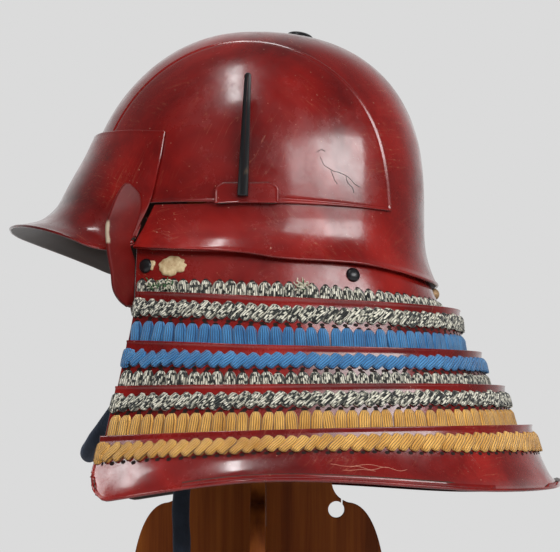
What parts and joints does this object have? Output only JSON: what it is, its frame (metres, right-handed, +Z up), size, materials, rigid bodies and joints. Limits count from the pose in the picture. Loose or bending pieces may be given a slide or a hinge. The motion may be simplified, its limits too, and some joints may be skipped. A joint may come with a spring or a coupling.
{
  "type": "kabuto samurai helmet on a wooden stand",
  "caption": "Red-lacquered samurai helmet with a swept peak, ear-like side pieces and a laced neck guard of flaring lames, on a plain stand of crossed wooden boards.",
  "frame": {"origin": "on the floor under the middle of the helmet's length and width", "axes": "+Z up, the helmet faces -Y, the wearer's left is +X"},
  "size_m": [0.3352, 0.3936, 0.4776],
  "materials": {
    "red_lacquer": "gloss lacquer, finely scratched and worn",
    "black_lacquer": "gloss lacquer, worn",
    "lacing_mixed": "flat braid of black, grey and cream silk",
    "lacing_blue": "flat braid of blue silk",
    "lacing_gold": "flat braid of ochre silk",
    "cord_navy": "soft padded cloth",
    "worn_leather": "bare, dull",
    "stand_wood": "oiled softwood with straight grain",
    "gilt_knob": "worn gilding"
  },
  "bodies": {
    "root": {"crown_plate": "red_lacquer", "side_plate_left": "red_lacquer", "side_plate_right": "red_lacquer", "brow_plate": "red_lacquer", "base_band": "red_lacquer", "prong_plate_left": "red_lacquer", "prong_plate_right": "red_lacquer", "neck_lame_1": "red_lacquer", "neck_lame_2": "red_lacquer", "neck_lame_3": "red_lacquer", "neck_lame_4": "red_lacquer", "neck_lame_5": "red_lacquer", "crown_disc": "black_lacquer", "prong_left": "black_lacquer", "prong_right": "black_lacquer", "rivet_front_left": "black_lacquer", "rivet_front_right": "black_lacquer", "rivet_side_left": "black_lacquer", "rivet_side_right": "black_lacquer", "cord_ring_left": "black_lacquer", "cord_ring_right": "black_lacquer", "rear_rivet": "gilt_knob", "lacing_row_1": "lacing_mixed", "lacing_row_2": "lacing_mixed", "lacing_row_3": "lacing_blue", "lacing_row_4": "lacing_blue", "lacing_row_5": "lacing_mixed", "lacing_row_6": "lacing_mixed", "lacing_row_7": "lacing_gold", "lacing_row_8": "lacing_gold", "leather_patch": "worn_leather", "cord_knot_left": "cord_navy", "cord_knot_right": "cord_navy", "chin_cord_loop": "cord_navy", "chin_cord_tail": "cord_navy", "tail_knot": "cord_navy", "stand_board_long": "stand_wood", "stand_board_cross": "stand_wood"}
  },
  "joints": []
}
